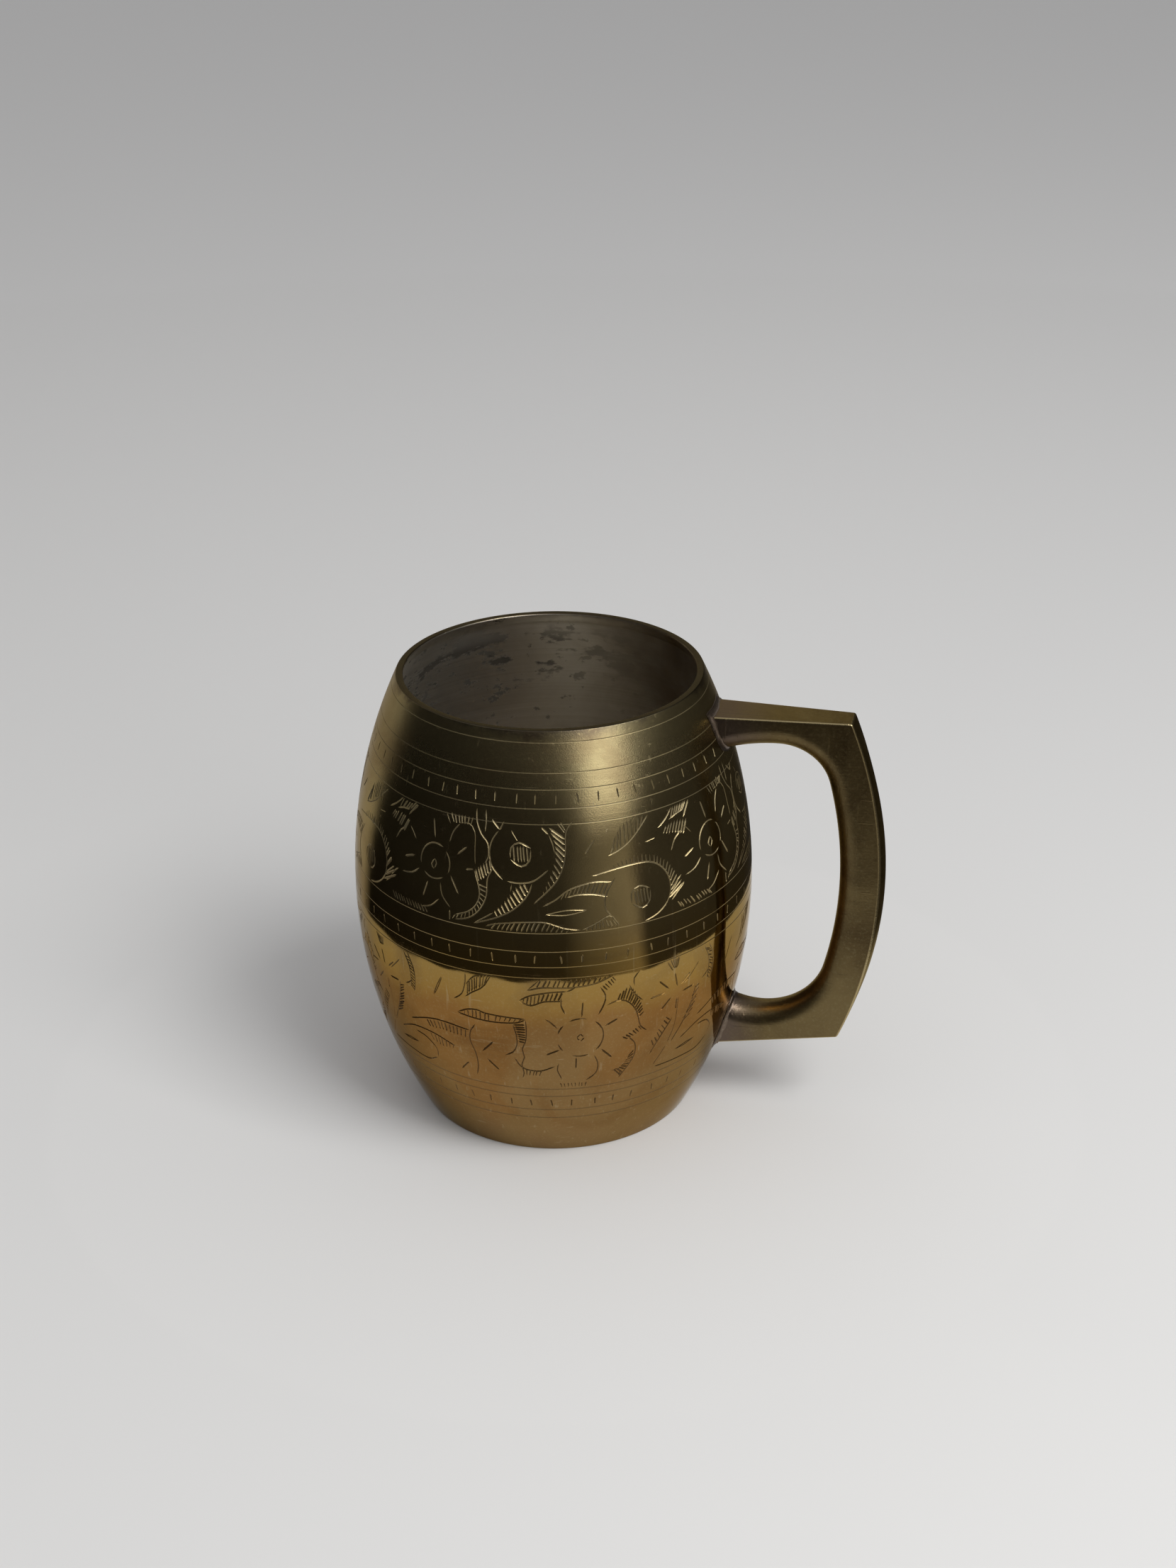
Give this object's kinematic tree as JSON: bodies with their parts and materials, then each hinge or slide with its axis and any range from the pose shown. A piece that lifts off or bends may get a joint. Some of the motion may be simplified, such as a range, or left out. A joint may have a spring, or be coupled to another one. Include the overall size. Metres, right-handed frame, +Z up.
{
  "type": "metal mug",
  "caption": "Barrel-shaped brass mug with a tinned inside, a soldered-in bottom and a cast side handle brazed on at its upper and lower root, for drinks.",
  "frame": {"origin": "on the barrel's axis, on the plane that the foot stands on, 0.8 mm under the recessed bottom disc", "axes": "+Z up along the barrel's axis, +X towards the handle, +Y to the left of someone who looks along +X"},
  "size_m": [0.1347, 0.101, 0.117],
  "materials": {
    "barrel_brass": "aged, polished, engraved",
    "cast_brass": "satin, filed",
    "plate_brass": "dull, turned",
    "wiped_tin": "tarnished, turned",
    "soft_solder": "dull",
    "braze": "heat-tinted"
  },
  "bodies": {
    "root": {"barrel_body": "barrel_brass", "base_disc": "plate_brass", "base_solder_ring": "soft_solder", "tin_lining": "wiped_tin", "handle": "cast_brass", "upper_braze_fillet": "braze", "lower_braze_fillet": "braze"}
  },
  "joints": []
}
